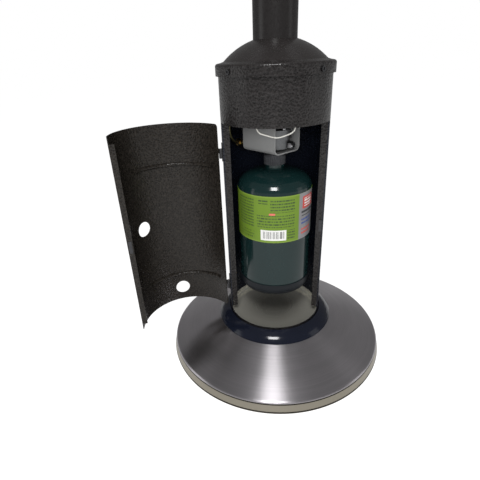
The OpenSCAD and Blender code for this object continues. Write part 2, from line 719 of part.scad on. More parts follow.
module regulator_cover() color([0.4, 0.41, 0.42]) difference() {
    translate([0, 0, reg_cover_z]) union() {
        cylinder(r = reg_cap_r, h = reg_cover_h / 4);
        cylinder(r1 = reg_cap_r * 0.62, r2 = reg_cap_r * 0.5, h = reg_cover_h);
    }
    around(6, 10) translate([cover_screw_circle, 0, reg_cover_z - over])
        cylinder(r = screw_r + slide_gap, h = reg_cover_h, $fn = 24);
    translate([0, 0, reg_cover_z + reg_cover_h / 2]) cylinder(r = screw_r, h = reg_cover_h, $fn = 24);
}

module cover_screws() color([0.75, 0.75, 0.75]) around(6, 10)
    translate([cover_screw_circle, 0, reg_cover_z + reg_cover_h / 4])
        screw(screw_r, reg_cover_h / 4 + reg_cap_h * 0.4);

module relief_valve() color([0.5, 0.5, 0.5]) rotate([0, 0, relief_angle])
    translate([reg_body_r * 0.75, 0, reg_z + reg_body_h / 2]) rotate([0, 90, 0]) {
        cylinder(r = relief_r * 0.6, h = reg_body_r * 0.4, $fn = 32);
        translate([0, 0, reg_body_r * 0.27]) cylinder(r = relief_r, h = reg_body_r * 0.25, $fn = 6);
        translate([0, 0, reg_body_r * 0.5]) cylinder(r = relief_r * 0.75, h = reg_body_r * 0.12, $fn = 32);
    }

// Knurled nut that takes the cylinder's valve collar
knurl_count = 36;
knurl_depth_share = 0.04;
module inlet_nut() color([0.45, 0.45, 0.47]) translate([0, 0, nut_z]) difference() {
    union() {
        linear_extrude(inlet_nut_h * 0.85) polygon([for (i = [0:2 * knurl_count - 1])
            let(a = i * 180 / knurl_count, r = inlet_nut_r * (1 - knurl_depth_share * (i % 2)))
            [r * cos(a), r * sin(a)]]);
        cylinder(r = inlet_nut_r * (1 - knurl_depth_share) - run_gap, h = inlet_nut_h);
    }
    translate([0, 0, -over]) cylinder(r = valve_collar_r + slide_gap, h = nut_roof_z - nut_z + over);
    cylinder(r = neck_r + run_gap, h = inlet_nut_h + over, $fn = 48);
}

module inlet_seal() color([0.05, 0.05, 0.05])
    ring(valve_collar_r - slide_gap, neck_r + run_gap, collar_top_z + face_gap, nut_roof_z);

module outlet_fitting() color([0.72, 0.58, 0.28]) rotate([0, 0, outlet_angle])
    translate([reg_body_r * 0.75, 0, outlet_z]) rotate([0, 90, 0]) difference() {
        union() {
            cylinder(r = outlet_r, h = outlet_reach + flare_nut_l / 2 - reg_body_r * 0.75, $fn = 32);
            translate([0, 0, reg_body_r * 0.27]) cylinder(r = outlet_r * 1.5, h = reg_body_r * 0.25, $fn = 6);
        }
        translate([0, 0, -over]) cylinder(r = outlet_r / 2, h = outlet_reach + flare_nut_l, $fn = 24);
    }

module flare_nut() color([0.85, 0.72, 0.4]) rotate([0, 0, outlet_angle])
    translate([outlet_reach, 0, outlet_z]) rotate([0, 90, 0]) difference() {
        cylinder(r = flare_nut_d / 2, h = flare_nut_l, $fn = 6);
        translate([0, 0, -over]) cylinder(r = outlet_r + run_gap, h = over + flare_nut_l / 2, $fn = 32);
        translate([0, 0, -over])
            cylinder(r = gas_tube_d / 2 + slide_gap, h = flare_nut_l + 2 * over, $fn = 32);
    }

// Gas tube: out of the flare nut, up beside the housing wall, and through the pole to the valve
gas_r = gas_tube_d / 2;
tube_wall_r = housing_ir - 2 * gas_r;
tube_end_r = outlet_reach + flare_nut_l;
inlet_at = [-pole_ir / 3, -pole_ir * 0.72];
gas_route = [
    polar(outlet_angle, tube_end_r - flare_nut_l / 2 + slide_gap, outlet_z),
    polar(outlet_angle, tube_end_r, outlet_z),
    polar(outlet_angle + 0.5, tube_wall_r * 0.905, outlet_z + gas_tube_d / 2),
    polar(outlet_angle + 1, tube_wall_r * 0.965, outlet_z + gas_tube_d * 1.8),
    polar(outlet_angle + 1, tube_wall_r, outlet_z + gas_tube_d * 5),
    polar(outlet_angle + 1, tube_wall_r * 0.99, outlet_z + (support_z - outlet_z) * 0.55),
    polar(outlet_angle, tube_wall_r * 0.8, outlet_z + (support_z - outlet_z) * 0.75),
    polar(outlet_angle, tube_wall_r * 0.5, outlet_z + (support_z - outlet_z) * 0.86),
    polar(outlet_angle, support_hole_r * 0.75, support_z - 2 * support_t),
    [-pole_ir / 2, 0, pole_z + pole_d / 3],
    [-pole_ir / 2, 0, pole_z + pole_d],
    [-pole_ir / 2, 0, (pole_z + pole_top) / 2],
    [-pole_ir / 2, 0, pole_top - pole_d],
    [inlet_at[0], inlet_at[1], pole_top - pole_r / 2],
    [inlet_at[0], inlet_at[1], pole_top + gas_tube_d * 2]
];
module gas_tube() color([0.75, 0.75, 0.5]) tube_along(smooth_path(gas_route, 4), gas_r, 8, [0, 0, 1]);

// Gas cylinder: one body that screws into the inlet nut
valve_tube_r = valve_collar_r * 0.66;
cylinder_neck = nut_z - neck_gap;
cylinder_shoulder = cylinder_neck - shoulder_h;
cylinder_bottom = cylinder_shoulder - cylinder_wall_h;
cup_round = cup_h * 0.6;
cylinder_path = concat(
    [[0, cylinder_bottom + cup_t]],
    arc_points(cylinder_r - cup_round, cylinder_bottom + cup_t + cup_round, cup_round, -90, 0, 5),
    [for (i = [0:10]) let(a = i * 9, w = cylinder_r - valve_collar_r)
        [valve_collar_r + w * cos(a), cylinder_shoulder + (cylinder_neck - cylinder_shoulder) * sin(a)]]);
module cylinder_body() color([0.04, 0.16, 0.13]) difference() {
    rotate_extrude() polygon(sheet_outline(cylinder_path, cylinder_wall));
    disc(valve_collar_r + run_gap, cylinder_neck - cylinder_wall * 3, cylinder_neck + over);
}

cup_in = cylinder_r + slide_gap / 4;
module cylinder_cup() color([0.1, 0.09, 0.12]) difference() {
    rotate_extrude() polygon(sheet_outline(concat(
        [[cylinder_r / 2, cylinder_bottom]],
        arc_points(cup_in + cup_t - cup_round, cylinder_bottom + cup_round, cup_round, -90, 0, 5),
        [[cup_in + cup_t, cylinder_bottom + cup_h]]), cup_t - slide_gap / 4));
}

module cylinder_label() color([0.4, 0.6, 0.2]) ring(cylinder_r + label_t, cylinder_r,
    cylinder_shoulder - label_drop - label_h, cylinder_shoulder - label_drop);

module cylinder_valve() color([0.6, 0.6, 0.6]) difference() {
    union() {
        disc(valve_collar_r, cylinder_neck - cylinder_wall * 3, collar_top_z);
        disc(valve_tube_r, cylinder_neck - cylinder_wall * 12, cylinder_neck);
    }
    disc(valve_tube_r, collar_top_z - neck_r * 1.4, collar_top_z + over);
    disc(neck_r / 3, cylinder_neck - cylinder_wall * 13, collar_top_z);
}

// Tilt switch under the support plate, and its lead
switch_w = bracket_foot_w * 1.6;
switch_d = bracket_foot_w * 0.9;
switch_h = bracket_foot_w * 1.8;
switch_v = -bracket_front - bracket_foot_w - switch_d / 4;
lead_r = screw_r / 2;
module tilt_switch() color([0.85, 0.85, 0.82]) bracket_frame()
    translate([-switch_w * 0.1, switch_v, support_z - switch_h]) {
        cube([switch_w, switch_d, switch_h]);
        translate([-switch_w * 0.2, 0, switch_h * 0.8]) cube([switch_w * 1.4, switch_d, switch_h * 0.2]);
    }

lead_low_z = reg_cap_z + reg_cap_h * 0.85;
lead_y = -housing_ir * 0.64;
lead_route = [
    [switch_w * 1.55, -switch_w * 1.5, support_z - switch_h],
    [switch_w * 1.5, -switch_w * 1.75, support_z - switch_h * 1.3],
    [switch_w * 1.3, lead_y, opening_top + switch_h * 0.2],
    [switch_w * 1.14, lead_y, opening_top - switch_h * 0.33],
    [switch_w * 0.65, lead_y, lead_low_z + switch_h * 0.1],
    [switch_w * 0.1, lead_y, lead_low_z],
    [-switch_w * 0.47, lead_y, lead_low_z + switch_h * 0.12],
    [-switch_w, lead_y, opening_top - switch_h * 0.33],
    [-switch_w * 1.2, lead_y, opening_top + switch_h * 0.4],
    [-switch_w * 0.9, lead_y, support_z - switch_h],
    [-switch_w * 0.15, lead_y * 0.95, support_z - switch_h * 0.62],
    [switch_w * 0.35, -bracket_front * 1.5, support_z - switch_h * 0.4],
    [switch_w * 0.3, -bracket_front * 0.95, support_z - switch_h * 0.2],
    [pole_ir / 8, -pole_ir / 2, support_z + switch_h * 0.1],
    [pole_ir / 4, -pole_ir / 2, pole_z + pole_d],
    [pole_ir / 4, -pole_ir / 2, pole_top - pole_d],
    [pole_ir / 3, -pole_ir * 0.72, pole_top - pole_r / 2],
    [pole_ir / 3, -pole_ir * 0.72, pole_top + gas_tube_d],
    [pole_ir / 3, -pole_ir * 0.72, pole_top + gas_tube_d * 3 + stem_r]
];
module tilt_lead() color([0.8, 0.8, 0.78]) tube_along(smooth_path(lead_route, 4), lead_r, 8, [0, 1, 0]);

// Burner head: a drum that holds the valve and the igniter, behind a flat control panel
control_z = drum_z + drum_h * 0.47;
panel_y = -drum_r - panel_out;
panel_screw_x = panel_w * 0.42;
panel_screw_z = panel_h * 0.36;
panel_hole_r = stem_r + 3 * slide_gap;
guide_r = stem_r * 1.9;
guide_wall = stem_r * 0.6;
guide_l = knob_travel * 3.2;
guide_y0 = -drum_ir + 3 * face_gap + slide_gap;
collar_l = knob_travel;
collar_y = guide_y0 + over;
valve_y0 = guide_y0 + guide_l - knob_travel;
valve_y1 = drum_r / 6;
valve_w = drum_d / 4;
valve_z0 = pole_top + gas_tube_d * 3;
valve_z1 = control_z + stem_r * 3.4;
igniter_r = button_r * 1.25;
shield_holes = [-60, -48, -72];
pilot_circle = (burner_d / 2 + emitter_foot_d / 2) / 2;
mixer_r = burner_d * 0.12;
drum_lip_r = drum_r * 0.86;

// Hole in the drum and the panel for a control at x
module control_hole(x, r) translate([x, panel_y - over, control_z]) rotate([-90, 0, 0])
    cylinder(r = r, h = panel_out + drum_r / 2, $fn = 48);

// Copies of the children at the panel's four screws, pointing back
module at_panel_screws() for (x = [-panel_screw_x, panel_screw_x], z = [-panel_screw_z, panel_screw_z])
    translate([x, panel_y, control_z + z]) rotate([-90, 0, 0]) children();

module head_drum() color([0.17, 0.15, 0.14]) difference() {
    rotate_extrude() polygon(sheet_outline(concat(
        [[pole_r + slide_gap, drum_z]],
        arc_points(drum_r - drum_round, drum_z + drum_round, drum_round, -90, 0, 5),
        arc_points(drum_r - drum_round / 2, drum_top - drum_round / 2, drum_round / 2, 0, 90, 4),
        [[drum_lip_r, drum_top]]), drum_sheet));
    around(4, 0) translate([pole_bolt_circle, 0, drum_z - over])
        cylinder(r = bolt_r + slide_gap, h = drum_sheet + 2 * over, $fn = 32);
    control_hole(0, guide_r);
    control_hole(igniter_x, igniter_r + slide_gap);
    at_panel_screws() cylinder(r = screw_r + slide_gap, h = drum_r, $fn = 24);
}

module control_panel() color([0.12, 0.11, 0.1]) difference() {
    translate([-panel_w / 2, panel_y, control_z - panel_h / 2]) cube([panel_w, drum_r - panel_out, panel_h]);
    disc(drum_r + slide_gap / 4, drum_z, drum_top);
    control_hole(0, panel_hole_r);
    control_hole(igniter_x, igniter_r + slide_gap);
    at_panel_screws() translate([0, 0, -over]) cylinder(r = screw_r + slide_gap, h = drum_r, $fn = 24);
}

module gas_valve() color([0.7, 0.68, 0.62]) difference() {
    union() {
        translate([-valve_w / 2, valve_y0, valve_z0])
            cube([valve_w, valve_y1 - valve_y0, valve_z1 - valve_z0]);
        translate([0, guide_y0, control_z]) rotate([-90, 0, 0])
            cylinder(r = guide_r + guide_wall, h = guide_l, $fn = 48);
        disc(mixer_r * 0.8, valve_z1, valve_z1 + gas_tube_d);
    }
    translate([0, guide_y0 - over, control_z]) rotate([-90, 0, 0])
        cylinder(r = guide_r, h = guide_l + over, $fn = 48);
    disc(gas_r, valve_z1 - stem_r, valve_z1 + gas_tube_d + over);
    for (side = [-1, 1]) translate([side * inlet_at[0], inlet_at[1], valve_z0 - over])
        cylinder(r = gas_r + slide_gap, h = over + stem_r, $fn = 24);
}

module valve_nut() color([0.85, 0.72, 0.4]) translate([inlet_at[0], inlet_at[1], valve_z0 - gas_tube_d * 1.6])
    hex_nut(flare_nut_d / 2, gas_r + slide_gap, gas_tube_d * 1.6);

// Collar that slides in the valve's guide and carries the turning stem
module stem_collar() color([0.7, 0.7, 0.7]) translate([0, collar_y, control_z]) rotate([-90, 0, 0])
    ring(guide_r - run_gap, stem_r + run_gap, 0, collar_l);

// Coil spring from z = 0 upwards, with a number of turns
function spring_path(r, h, turns) = [for (i = [0:8 * turns]) let(a = i * 45)
    [r * cos(a), r * sin(a), h * i / (8 * turns)]];

spring_wire = stem_r / 8;
module stem_spring() color([0.7, 0.7, 0.7])
    translate([0, collar_y + collar_l + spring_wire, control_z]) rotate([-90, 0, 0])
        tube_along(spring_path(guide_r - 3 * spring_wire,
            guide_y0 + guide_l - collar_y - collar_l - 2 * spring_wire, 5), spring_wire, 6, [0, 0, 1]);

knob_y = panel_y - knob_travel - over;
stem_back = guide_y0 + guide_l - knob_travel - over;
module valve_stem() color([0.75, 0.75, 0.75]) difference() {
    translate([0, knob_y - knob_l * 0.6, control_z]) rotate([-90, 0, 0])
        cylinder(r = stem_r, h = stem_back - knob_y + knob_l * 0.6, $fn = 32);
    translate([-stem_r, knob_y - knob_l, control_z + stem_r * 0.6])
        cube([2 * stem_r, knob_l, stem_r]);
}

// Knob with a skirt, grips round its side and a pointer bar across its face
grip_count = 18;
module control_knob() color([0.05, 0.05, 0.05]) translate([0, knob_y, control_z]) rotate([90, 0, 0])
    difference() {
        union() {
            cylinder(r = knob_d / 2, h = knob_l * 0.2);
            linear_extrude(knob_l * 0.85) polygon([for (i = [0:4 * grip_count - 1])
                let(a = i * 90 / grip_count, r = knob_d / 2 * (i % 4 < 2 ? 0.86 : 0.8))
                [r * cos(a), r * sin(a)]]);
            translate([-knob_d * 0.08, -knob_d * 0.38, 0]) cube([knob_d * 0.16, knob_d * 0.76, knob_l]);
        }
        difference() {
            translate([0, 0, -over]) cylinder(r = stem_r + run_gap, h = knob_l * 0.65 + over, $fn = 32);
            translate([-stem_r, stem_r * 0.6 + run_gap, -over])
                cube([2 * stem_r, stem_r, knob_l]);
        }
    }

button_out = button_travel * 1.4;
button_in = button_travel * 1.2;
igniter_bore = button_in + button_travel * 2.2;
igniter_l = igniter_bore + button_travel * 3;
module igniter_body() color([0.1, 0.1, 0.1]) translate([igniter_x, panel_y, control_z]) rotate([-90, 0, 0])
    difference() {
        union() {
            cylinder(r = igniter_r, h = igniter_l, $fn = 48);
            translate([0, 0, -leaf_t]) cylinder(r = igniter_r * 1.25, h = leaf_t, $fn = 48);
            translate([0, 0, igniter_l]) cylinder(r = screw_r, h = button_travel, $fn = 24);
        }
        translate([0, 0, -2 * over]) cylinder(r = button_r + run_gap, h = igniter_bore + 2 * over, $fn = 48);
    }

module igniter_button() color([0.7, 0.1, 0.08])
    translate([igniter_x, panel_y - button_out, control_z]) rotate([-90, 0, 0]) {
        cylinder(r1 = button_r * 0.9, r2 = button_r, h = button_r * 0.15, $fn = 48);
        translate([0, 0, button_r * 0.15])
            cylinder(r = button_r, h = button_out + button_in - button_r * 0.15, $fn = 48);
    }

module igniter_spring() color([0.7, 0.7, 0.7])
    translate([igniter_x, panel_y + button_in + spring_wire, control_z]) rotate([-90, 0, 0])
        tube_along(spring_path(button_r * 0.6, igniter_bore - button_in - 2 * spring_wire, 6),
            spring_wire, 6, [0, 0, 1]);

electrode_at = polar(shield_holes[2], pilot_circle, 0);
electrode_foot_z = shield_z - burner_h * 0.6;
igniter_back = panel_y + igniter_l + button_travel;
igniter_route = [
    [igniter_x, igniter_back, control_z],
    [igniter_x, igniter_back + button_travel / 2, control_z],
    [igniter_x, igniter_back + button_travel, control_z + button_travel / 2],
    [igniter_x * 0.95, igniter_back + button_travel / 2, control_z + button_travel * 2],
    [igniter_x * 0.75, electrode_at[1] * 0.6, shield_z - burner_h * 1.1],
    [electrode_at[0], electrode_at[1], shield_z - burner_h],
    [electrode_at[0], electrode_at[1], shield_z - burner_h * 0.8],
    [electrode_at[0], electrode_at[1], electrode_foot_z]
];
module igniter_lead() color([0.6, 0.1, 0.1]) tube_along(smooth_path(igniter_route, 4), lead_r, 8, [0, 1, 0]);

mixer_z = valve_z1 + gas_tube_d;
burner_z = shield_z + drum_sheet + burner_h;
module mixer_tube() color([0.6, 0.6, 0.6]) difference() {
    ring(mixer_r, mixer_r * 0.85, mixer_z, burner_z + burner_h / 3);
    for (a = [0, 90]) rotate([0, 0, a]) translate([0, 0, mixer_z + mixer_r * 0.7]) rotate([0, 90, 0])
        translate([0, 0, -2 * mixer_r]) cylinder(r = mixer_r * 0.35, h = 4 * mixer_r, $fn = 32);
}

module heat_shield() color([0.6, 0.6, 0.6]) difference() {
    ring(drum_r - drum_round / 2, mixer_r + slide_gap, shield_z, shield_z + drum_sheet);
    for (a = shield_holes) translate(polar(a, pilot_circle, shield_z - over))
        cylinder(r = 2 * screw_r + slide_gap, h = drum_sheet + 2 * over, $fn = 24);
}

burner_ports = 24;
module burner() color([0.5, 0.5, 0.5]) difference() {
    union() {
        disc(burner_d / 2, burner_z + burner_h / 4, burner_z + burner_h);
        disc(mixer_r * 1.4, burner_z, burner_z + burner_h / 2);
    }
    disc(mixer_r + slide_gap / 4, burner_z - over, burner_z + burner_h / 3);
    disc(mixer_r * 0.85, burner_z, burner_z + burner_h * 0.8);
    disc(burner_d / 2 - 2 * drum_sheet, burner_z + burner_h / 2, burner_z + burner_h * 0.85);
    for (row = [0.45, 0.85]) around(burner_ports, row * 30)
        translate([burner_d / 2 * row, 0, burner_z + burner_h * 0.8])
            cylinder(r = screw_r * 0.8, h = burner_h, $fn = 16);
}

// Pilot burner, thermocouple and electrode stand in the heat shield beside the burner
module pilot_burner() color([0.65, 0.6, 0.5]) translate(polar(shield_holes[0], pilot_circle, 0))
    difference() {
        union() {
            disc(2 * screw_r, shield_z - burner_h, burner_z + burner_h * 0.7);
            disc(2.6 * screw_r, shield_z + drum_sheet, shield_z + drum_sheet * 3);
        }
        disc(screw_r, shield_z - burner_h - over, burner_z + burner_h);
    }

module thermocouple() color([0.6, 0.6, 0.6]) translate(polar(shield_holes[1], pilot_circle, 0)) {
    disc(2 * screw_r, shield_z - burner_h * 0.5, shield_z + drum_sheet * 5);
    disc(screw_r, shield_z - burner_h, burner_z + burner_h);
    disc(2.6 * screw_r, shield_z + drum_sheet, shield_z + drum_sheet * 3);
}

module ignition_electrode() color([0.9, 0.9, 0.86]) translate(polar(shield_holes[2], pilot_circle, 0)) {
    disc(2 * screw_r, electrode_foot_z, burner_z + burner_h * 0.5);
    disc(screw_r / 2, electrode_foot_z, burner_z + burner_h * 0.9);
    disc(2.6 * screw_r, shield_z + drum_sheet, shield_z + drum_sheet * 3);
}

emitter_columns = 16;
emitter_rows = 6;
emitter_edge_share = 0.1;
module emitter_screen() color([0.62, 0.6, 0.58]) difference() {
    rotate_extrude() polygon(sheet_outline([[emitter_foot_d / 2, emitter_z + emitter_sheet / 8],
        [emitter_top_d / 2, emitter_top - emitter_sheet / 8]], emitter_sheet));
    for (row = [0:emitter_rows - 1]) around(emitter_columns, row % 2 * 180 / emitter_columns)
        translate([emitter_top_d / 2 - 5 * emitter_sheet, 0, emitter_z
            + emitter_h * (emitter_edge_share + (1 - 2 * emitter_edge_share) * row / (emitter_rows - 1))])
            rotate([0, 90, 0]) cylinder(r = emitter_hole_r, h = emitter_foot_d / 4, $fn = 24);
}

cap_r = emitter_top_d / 2 + 4 * emitter_sheet;
post_circle = emitter_top_d * 0.34;
module emitter_cap() color([0.6, 0.6, 0.6]) difference() {
    union() {
        disc(cap_r, emitter_top, emitter_top + drum_sheet);
        ring(cap_r, cap_r - drum_sheet, emitter_top - 4 * drum_sheet, emitter_top + drum_sheet);
    }
    around(post_count, 30) translate([post_circle, 0, emitter_top - over])
        cylinder(r = post_r * 0.7 + slide_gap, h = drum_sheet + 2 * over, $fn = 32);
}

module reflector_posts() color([0.65, 0.65, 0.65]) around(post_count, 30) translate([post_circle, 0, 0]) {
    disc(post_r, emitter_top + drum_sheet, reflector_z);
    disc(post_r * 0.7, emitter_top - post_r, reflector_z + reflector_sheet + 2 * post_r);
    translate([0, 0, emitter_top - post_r]) cylinder(r = post_r * 1.5, h = post_r, $fn = 6);
}

reflector_lip = reflector_fall / 8;
reflector_path = concat(
    [[reflector_d / 2, reflector_z - reflector_fall - reflector_lip / 2]],
    arc_points((reflector_d - reflector_lip) / 2, reflector_z - reflector_fall, reflector_lip / 2, 0, 80, 4),
    [for (i = [1:10]) let(t = i / 10)
        [(reflector_d / 2 - reflector_lip) * (1 - t) + reflector_flat_d / 2 * t,
         reflector_z - reflector_fall * cos(90 * t) + reflector_lip / 2 * (1 - t)]],
    [[bolt_r, reflector_z]]);
module reflector() color([0.78, 0.78, 0.78]) difference() {
    translate([0, 0, reflector_sheet]) rotate_extrude()
        polygon(sheet_outline(reflector_path, reflector_sheet));
    around(post_count, 30) translate([post_circle, 0, reflector_z - over])
        cylinder(r = post_r * 0.7 + slide_gap, h = reflector_sheet + 2 * over, $fn = 32);
}

module wing_nuts() color([0.7, 0.7, 0.7]) around(post_count, 30)
    translate([post_circle, 0, reflector_z + reflector_sheet]) difference() {
        union() {
            cylinder(r = post_r * 1.5, h = post_r * 1.3, $fn = 32);
            for (side = [-1, 1]) translate([side * post_r * 2, 0, post_r * 1.5]) rotate([90, 0, 0])
                translate([0, 0, -post_r * 0.3]) cylinder(r = post_r * 1.1, h = post_r * 0.6, $fn = 32);
        }
        translate([0, 0, -over]) cylinder(r = post_r * 0.7 + run_gap, h = post_r * 4, $fn = 32);
    }

feet();
base_plate();
ballast();
base_cover();
collar_ring();
floor_pan();
base_bolts();
housing_shell();
housing_lid();
lid_screws();
support_plate();
pole();
pole_flanges();
pole_bolts();
door_panel();
door_hinge_leaves();
housing_hinge_leaves();
hinge_pins();
door_strike();
door_magnet();
regulator_bracket();
bracket_bolts();
regulator_body();
regulator_cover();
cover_screws();
relief_valve();
inlet_nut();
inlet_seal();
outlet_fitting();
flare_nut();
gas_tube();
cylinder_body();
cylinder_cup();
cylinder_label();
cylinder_valve();
tilt_switch();
tilt_lead();
head_drum();
control_panel();
gas_valve();
valve_nut();
stem_collar();
stem_spring();
valve_stem();
control_knob();
igniter_body();
igniter_button();
igniter_spring();
igniter_lead();
mixer_tube();
heat_shield();
burner();
pilot_burner();
thermocouple();
ignition_electrode();
emitter_screen();
emitter_cap();
reflector_posts();
reflector();
wing_nuts();
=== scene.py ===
"""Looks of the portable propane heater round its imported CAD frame. Metres, in the part's own axes."""

import json
import math

import bmesh
import bpy
from mathutils import Matrix, Vector


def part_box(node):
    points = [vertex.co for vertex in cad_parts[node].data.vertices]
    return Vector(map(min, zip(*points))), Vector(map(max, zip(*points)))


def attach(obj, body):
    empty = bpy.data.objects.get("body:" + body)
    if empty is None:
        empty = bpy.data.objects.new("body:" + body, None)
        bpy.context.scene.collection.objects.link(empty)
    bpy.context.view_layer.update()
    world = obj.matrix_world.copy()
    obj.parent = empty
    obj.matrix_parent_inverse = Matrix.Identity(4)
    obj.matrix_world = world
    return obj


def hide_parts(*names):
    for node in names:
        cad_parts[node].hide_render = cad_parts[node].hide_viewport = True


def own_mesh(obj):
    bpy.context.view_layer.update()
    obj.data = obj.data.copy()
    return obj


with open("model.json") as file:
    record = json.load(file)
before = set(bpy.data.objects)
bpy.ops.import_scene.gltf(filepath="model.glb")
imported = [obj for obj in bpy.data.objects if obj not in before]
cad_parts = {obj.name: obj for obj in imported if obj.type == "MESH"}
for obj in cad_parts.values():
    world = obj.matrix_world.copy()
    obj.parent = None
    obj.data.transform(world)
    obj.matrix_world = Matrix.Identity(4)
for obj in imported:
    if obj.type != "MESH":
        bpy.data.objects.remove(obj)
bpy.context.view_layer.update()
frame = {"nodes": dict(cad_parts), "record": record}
NODES = frame["nodes"]

# Places that follow from the frame
MM = 0.001


def low(node):
    """The low corner of a node's box."""
    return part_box(node)[0]


def high(node):
    """The high corner of a node's box."""
    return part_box(node)[1]


SHELL_R = high("housing_shell").x
# Radii of the shell's inner face, which gets painted shade.
SHELL_INSIDE_SHADE = (SHELL_R - 2 * MM, SHELL_R - 0.4 * MM)
LABEL_Z0 = low("cylinder_label").z
LABEL_Z1 = high("cylinder_label").z
DOME_Z = high("lid_screws").z + 4 * MM
DOME_TOP = high("housing_lid").z
SCREEN_Z0 = low("emitter_screen").z
SCREEN_Z1 = high("emitter_screen").z
SCREEN_R0 = high("emitter_screen").x
SCREEN_R1 = high("emitter_cap").x - 4.2 * MM

# The rolled rim of the base: its height, its tone, and its dark bands as heights and half widths. The beige
# tone is a painted cream reflection; the lowest band is painted contact shadow at the foot, and the two
# above it are seams.
RIM_Z = 17 * MM
RIM_REFLECTION_TONE = (0.30, 0.275, 0.225)
RIM_SEAMS_AND_FOOT_SHADOW = ((0.0, 1.4 * MM), (4.4 * MM, 1.0 * MM), (RIM_Z - 1.2 * MM, 0.9 * MM))
SEAM_AND_SHADOW_FACTOR = 0.08

# Short calls that build a material


def grey(color):
    """A colour with alpha, from three numbers or one."""
    if isinstance(color, (int, float)):
        color = (color, color, color)
    return (*color[:3], 1.0)


def shaded(color, factor):
    return tuple(min(1.0, c * factor) for c in color)


def shades(color, spread):
    """The colour made darker and lighter by a share of itself."""
    return shaded(color, 1 - spread), shaded(color, 1 + spread)


class Shader:
    """A material whose nodes are made by short calls; every texture is placed in the row frame."""

    def __init__(self, name):
        self.material = bpy.data.materials.new(name)
        self.material.use_nodes = True
        self.tree = self.material.node_tree
        self.bsdf = self.tree.nodes["Principled BSDF"]
        self.coords = self.node("ShaderNodeTexCoord").outputs["Object"]

    def node(self, kind, **values):
        """A new node. A value goes to the property of that name, or else to the input of that name."""
        made = self.tree.nodes.new(kind)
        for key, value in values.items():
            if hasattr(made, key):
                setattr(made, key, value)
            else:
                self.feed(made.inputs[key.replace("_", " ")], value)
        return made

    def feed(self, socket, value):
        if isinstance(value, bpy.types.NodeSocket):
            self.tree.links.new(value, socket)
        else:
            socket.default_value = value

    def fed(self, kind, *values):
        """A new node whose first inputs get these values in their order."""
        made = self.tree.nodes.new(kind)
        for socket, value in zip(made.inputs, values):
            self.feed(socket, value)
        return made

    def math(self, operation, *values):
        made = self.fed("ShaderNodeMath", *values)
        made.operation = operation
        return made.outputs[0]

    def times(self, a, b):
        return self.math("MULTIPLY", a, b)

    def plus(self, a, b):
        return self.math("ADD", a, b)

    def inside(self, value, a, b):
        """1 where a value lies between two limits, 0 elsewhere."""
        return self.times(self.math("GREATER_THAN", value, a), self.math("LESS_THAN", value, b))

    def xyz(self):
        return self.fed("ShaderNodeSeparateXYZ", self.coords).outputs

    def radius(self, x, y):
        return self.math("SQRT", self.plus(self.times(x, x), self.times(y, y)))

    def combine(self, x, y, z):
        return self.fed("ShaderNodeCombineXYZ", x, y, z).outputs[0]

    def stretched(self, scale):
        return self.node("ShaderNodeMapping", Vector=self.coords, Scale=scale).outputs[0]

    def noise(self, scale, detail=3.0, rough=0.55, vector=None):
        made = self.node("ShaderNodeTexNoise", Scale=scale, Detail=detail, Roughness=rough,
                         Vector=vector or self.coords)
        return made.outputs["Fac"]

    def cells(self, scale, smooth):
        """Rounded cells, as the distance to the middle of each."""
        made = self.node("ShaderNodeTexVoronoi", feature="SMOOTH_F1", Scale=scale, Smoothness=smooth,
                         Vector=self.coords)
        return made.outputs["Distance"]

    def ramp(self, fac, *stops):
        made = self.fed("ShaderNodeValToRGB", fac)
        points = made.color_ramp.elements
        while len(points) < len(stops):
            points.new(0.5)
        for point, (at, color) in zip(points, stops):
            point.position = at
            point.color = grey(color)
        return made.outputs[0]

    def span(self, value, a0, a1, b0=0.0, b1=1.0):
        """A value from a0 to a1 becomes one from b0 to b1, and stays within them."""
        return self.fed("ShaderNodeMapRange", value, a0, a1, b0, b1).outputs[0]

    def mix(self, fac, a, b):
        """The colour a where fac is 0, and b where it is 1. Either may be a value from another node."""
        made = self.tree.nodes.new("ShaderNodeMix")
        made.data_type = "RGBA"
        self.feed(made.inputs[0], fac)
        for socket, value in ((made.inputs[6], a), (made.inputs[7], b)):
            self.feed(socket, value if isinstance(value, bpy.types.NodeSocket) else grey(value))
        return made.outputs[2]

    def bump(self, height, distance, strength):
        made = self.node("ShaderNodeBump", Strength=strength, Distance=distance, Height=height)
        self.tree.links.new(made.outputs[0], self.bsdf.inputs["Normal"])

    def surface(self, color, rough, **fixed):
        self.feed(self.bsdf.inputs["Base Color"], color)
        self.feed(self.bsdf.inputs["Roughness"], rough)
        for key, value in fixed.items():
            self.bsdf.inputs[key.replace("_", " ")].default_value = value
        return self.material


# Materials. Texture scales are per metre. The middle part of a noise, MID, is stretched to its full range.
MID = (0.3, 0.7)

DIMPLES, WAVES, FLECKS, GLOSS_SPOTS = 400.0, 60.0, 700.0, 240.0
DIMPLE_DEPTH = 1.0 * MM
GRAIN_SEEN = (0.42, 0.86)
# Tones of the smooth dome and pole, between the dark and light ends: the dome's is painted light on its
# up-facing top, and the pole's is the middle.
DOME_LIT_TONE, POLE_TONE = 0.95, 0.50
PLAIN_RELIEF = 0.03
# Painted shade: a dark navy tone for the inside of the housing.
INSIDE_SHADE_TONE = (0.0055, 0.0070, 0.0120)


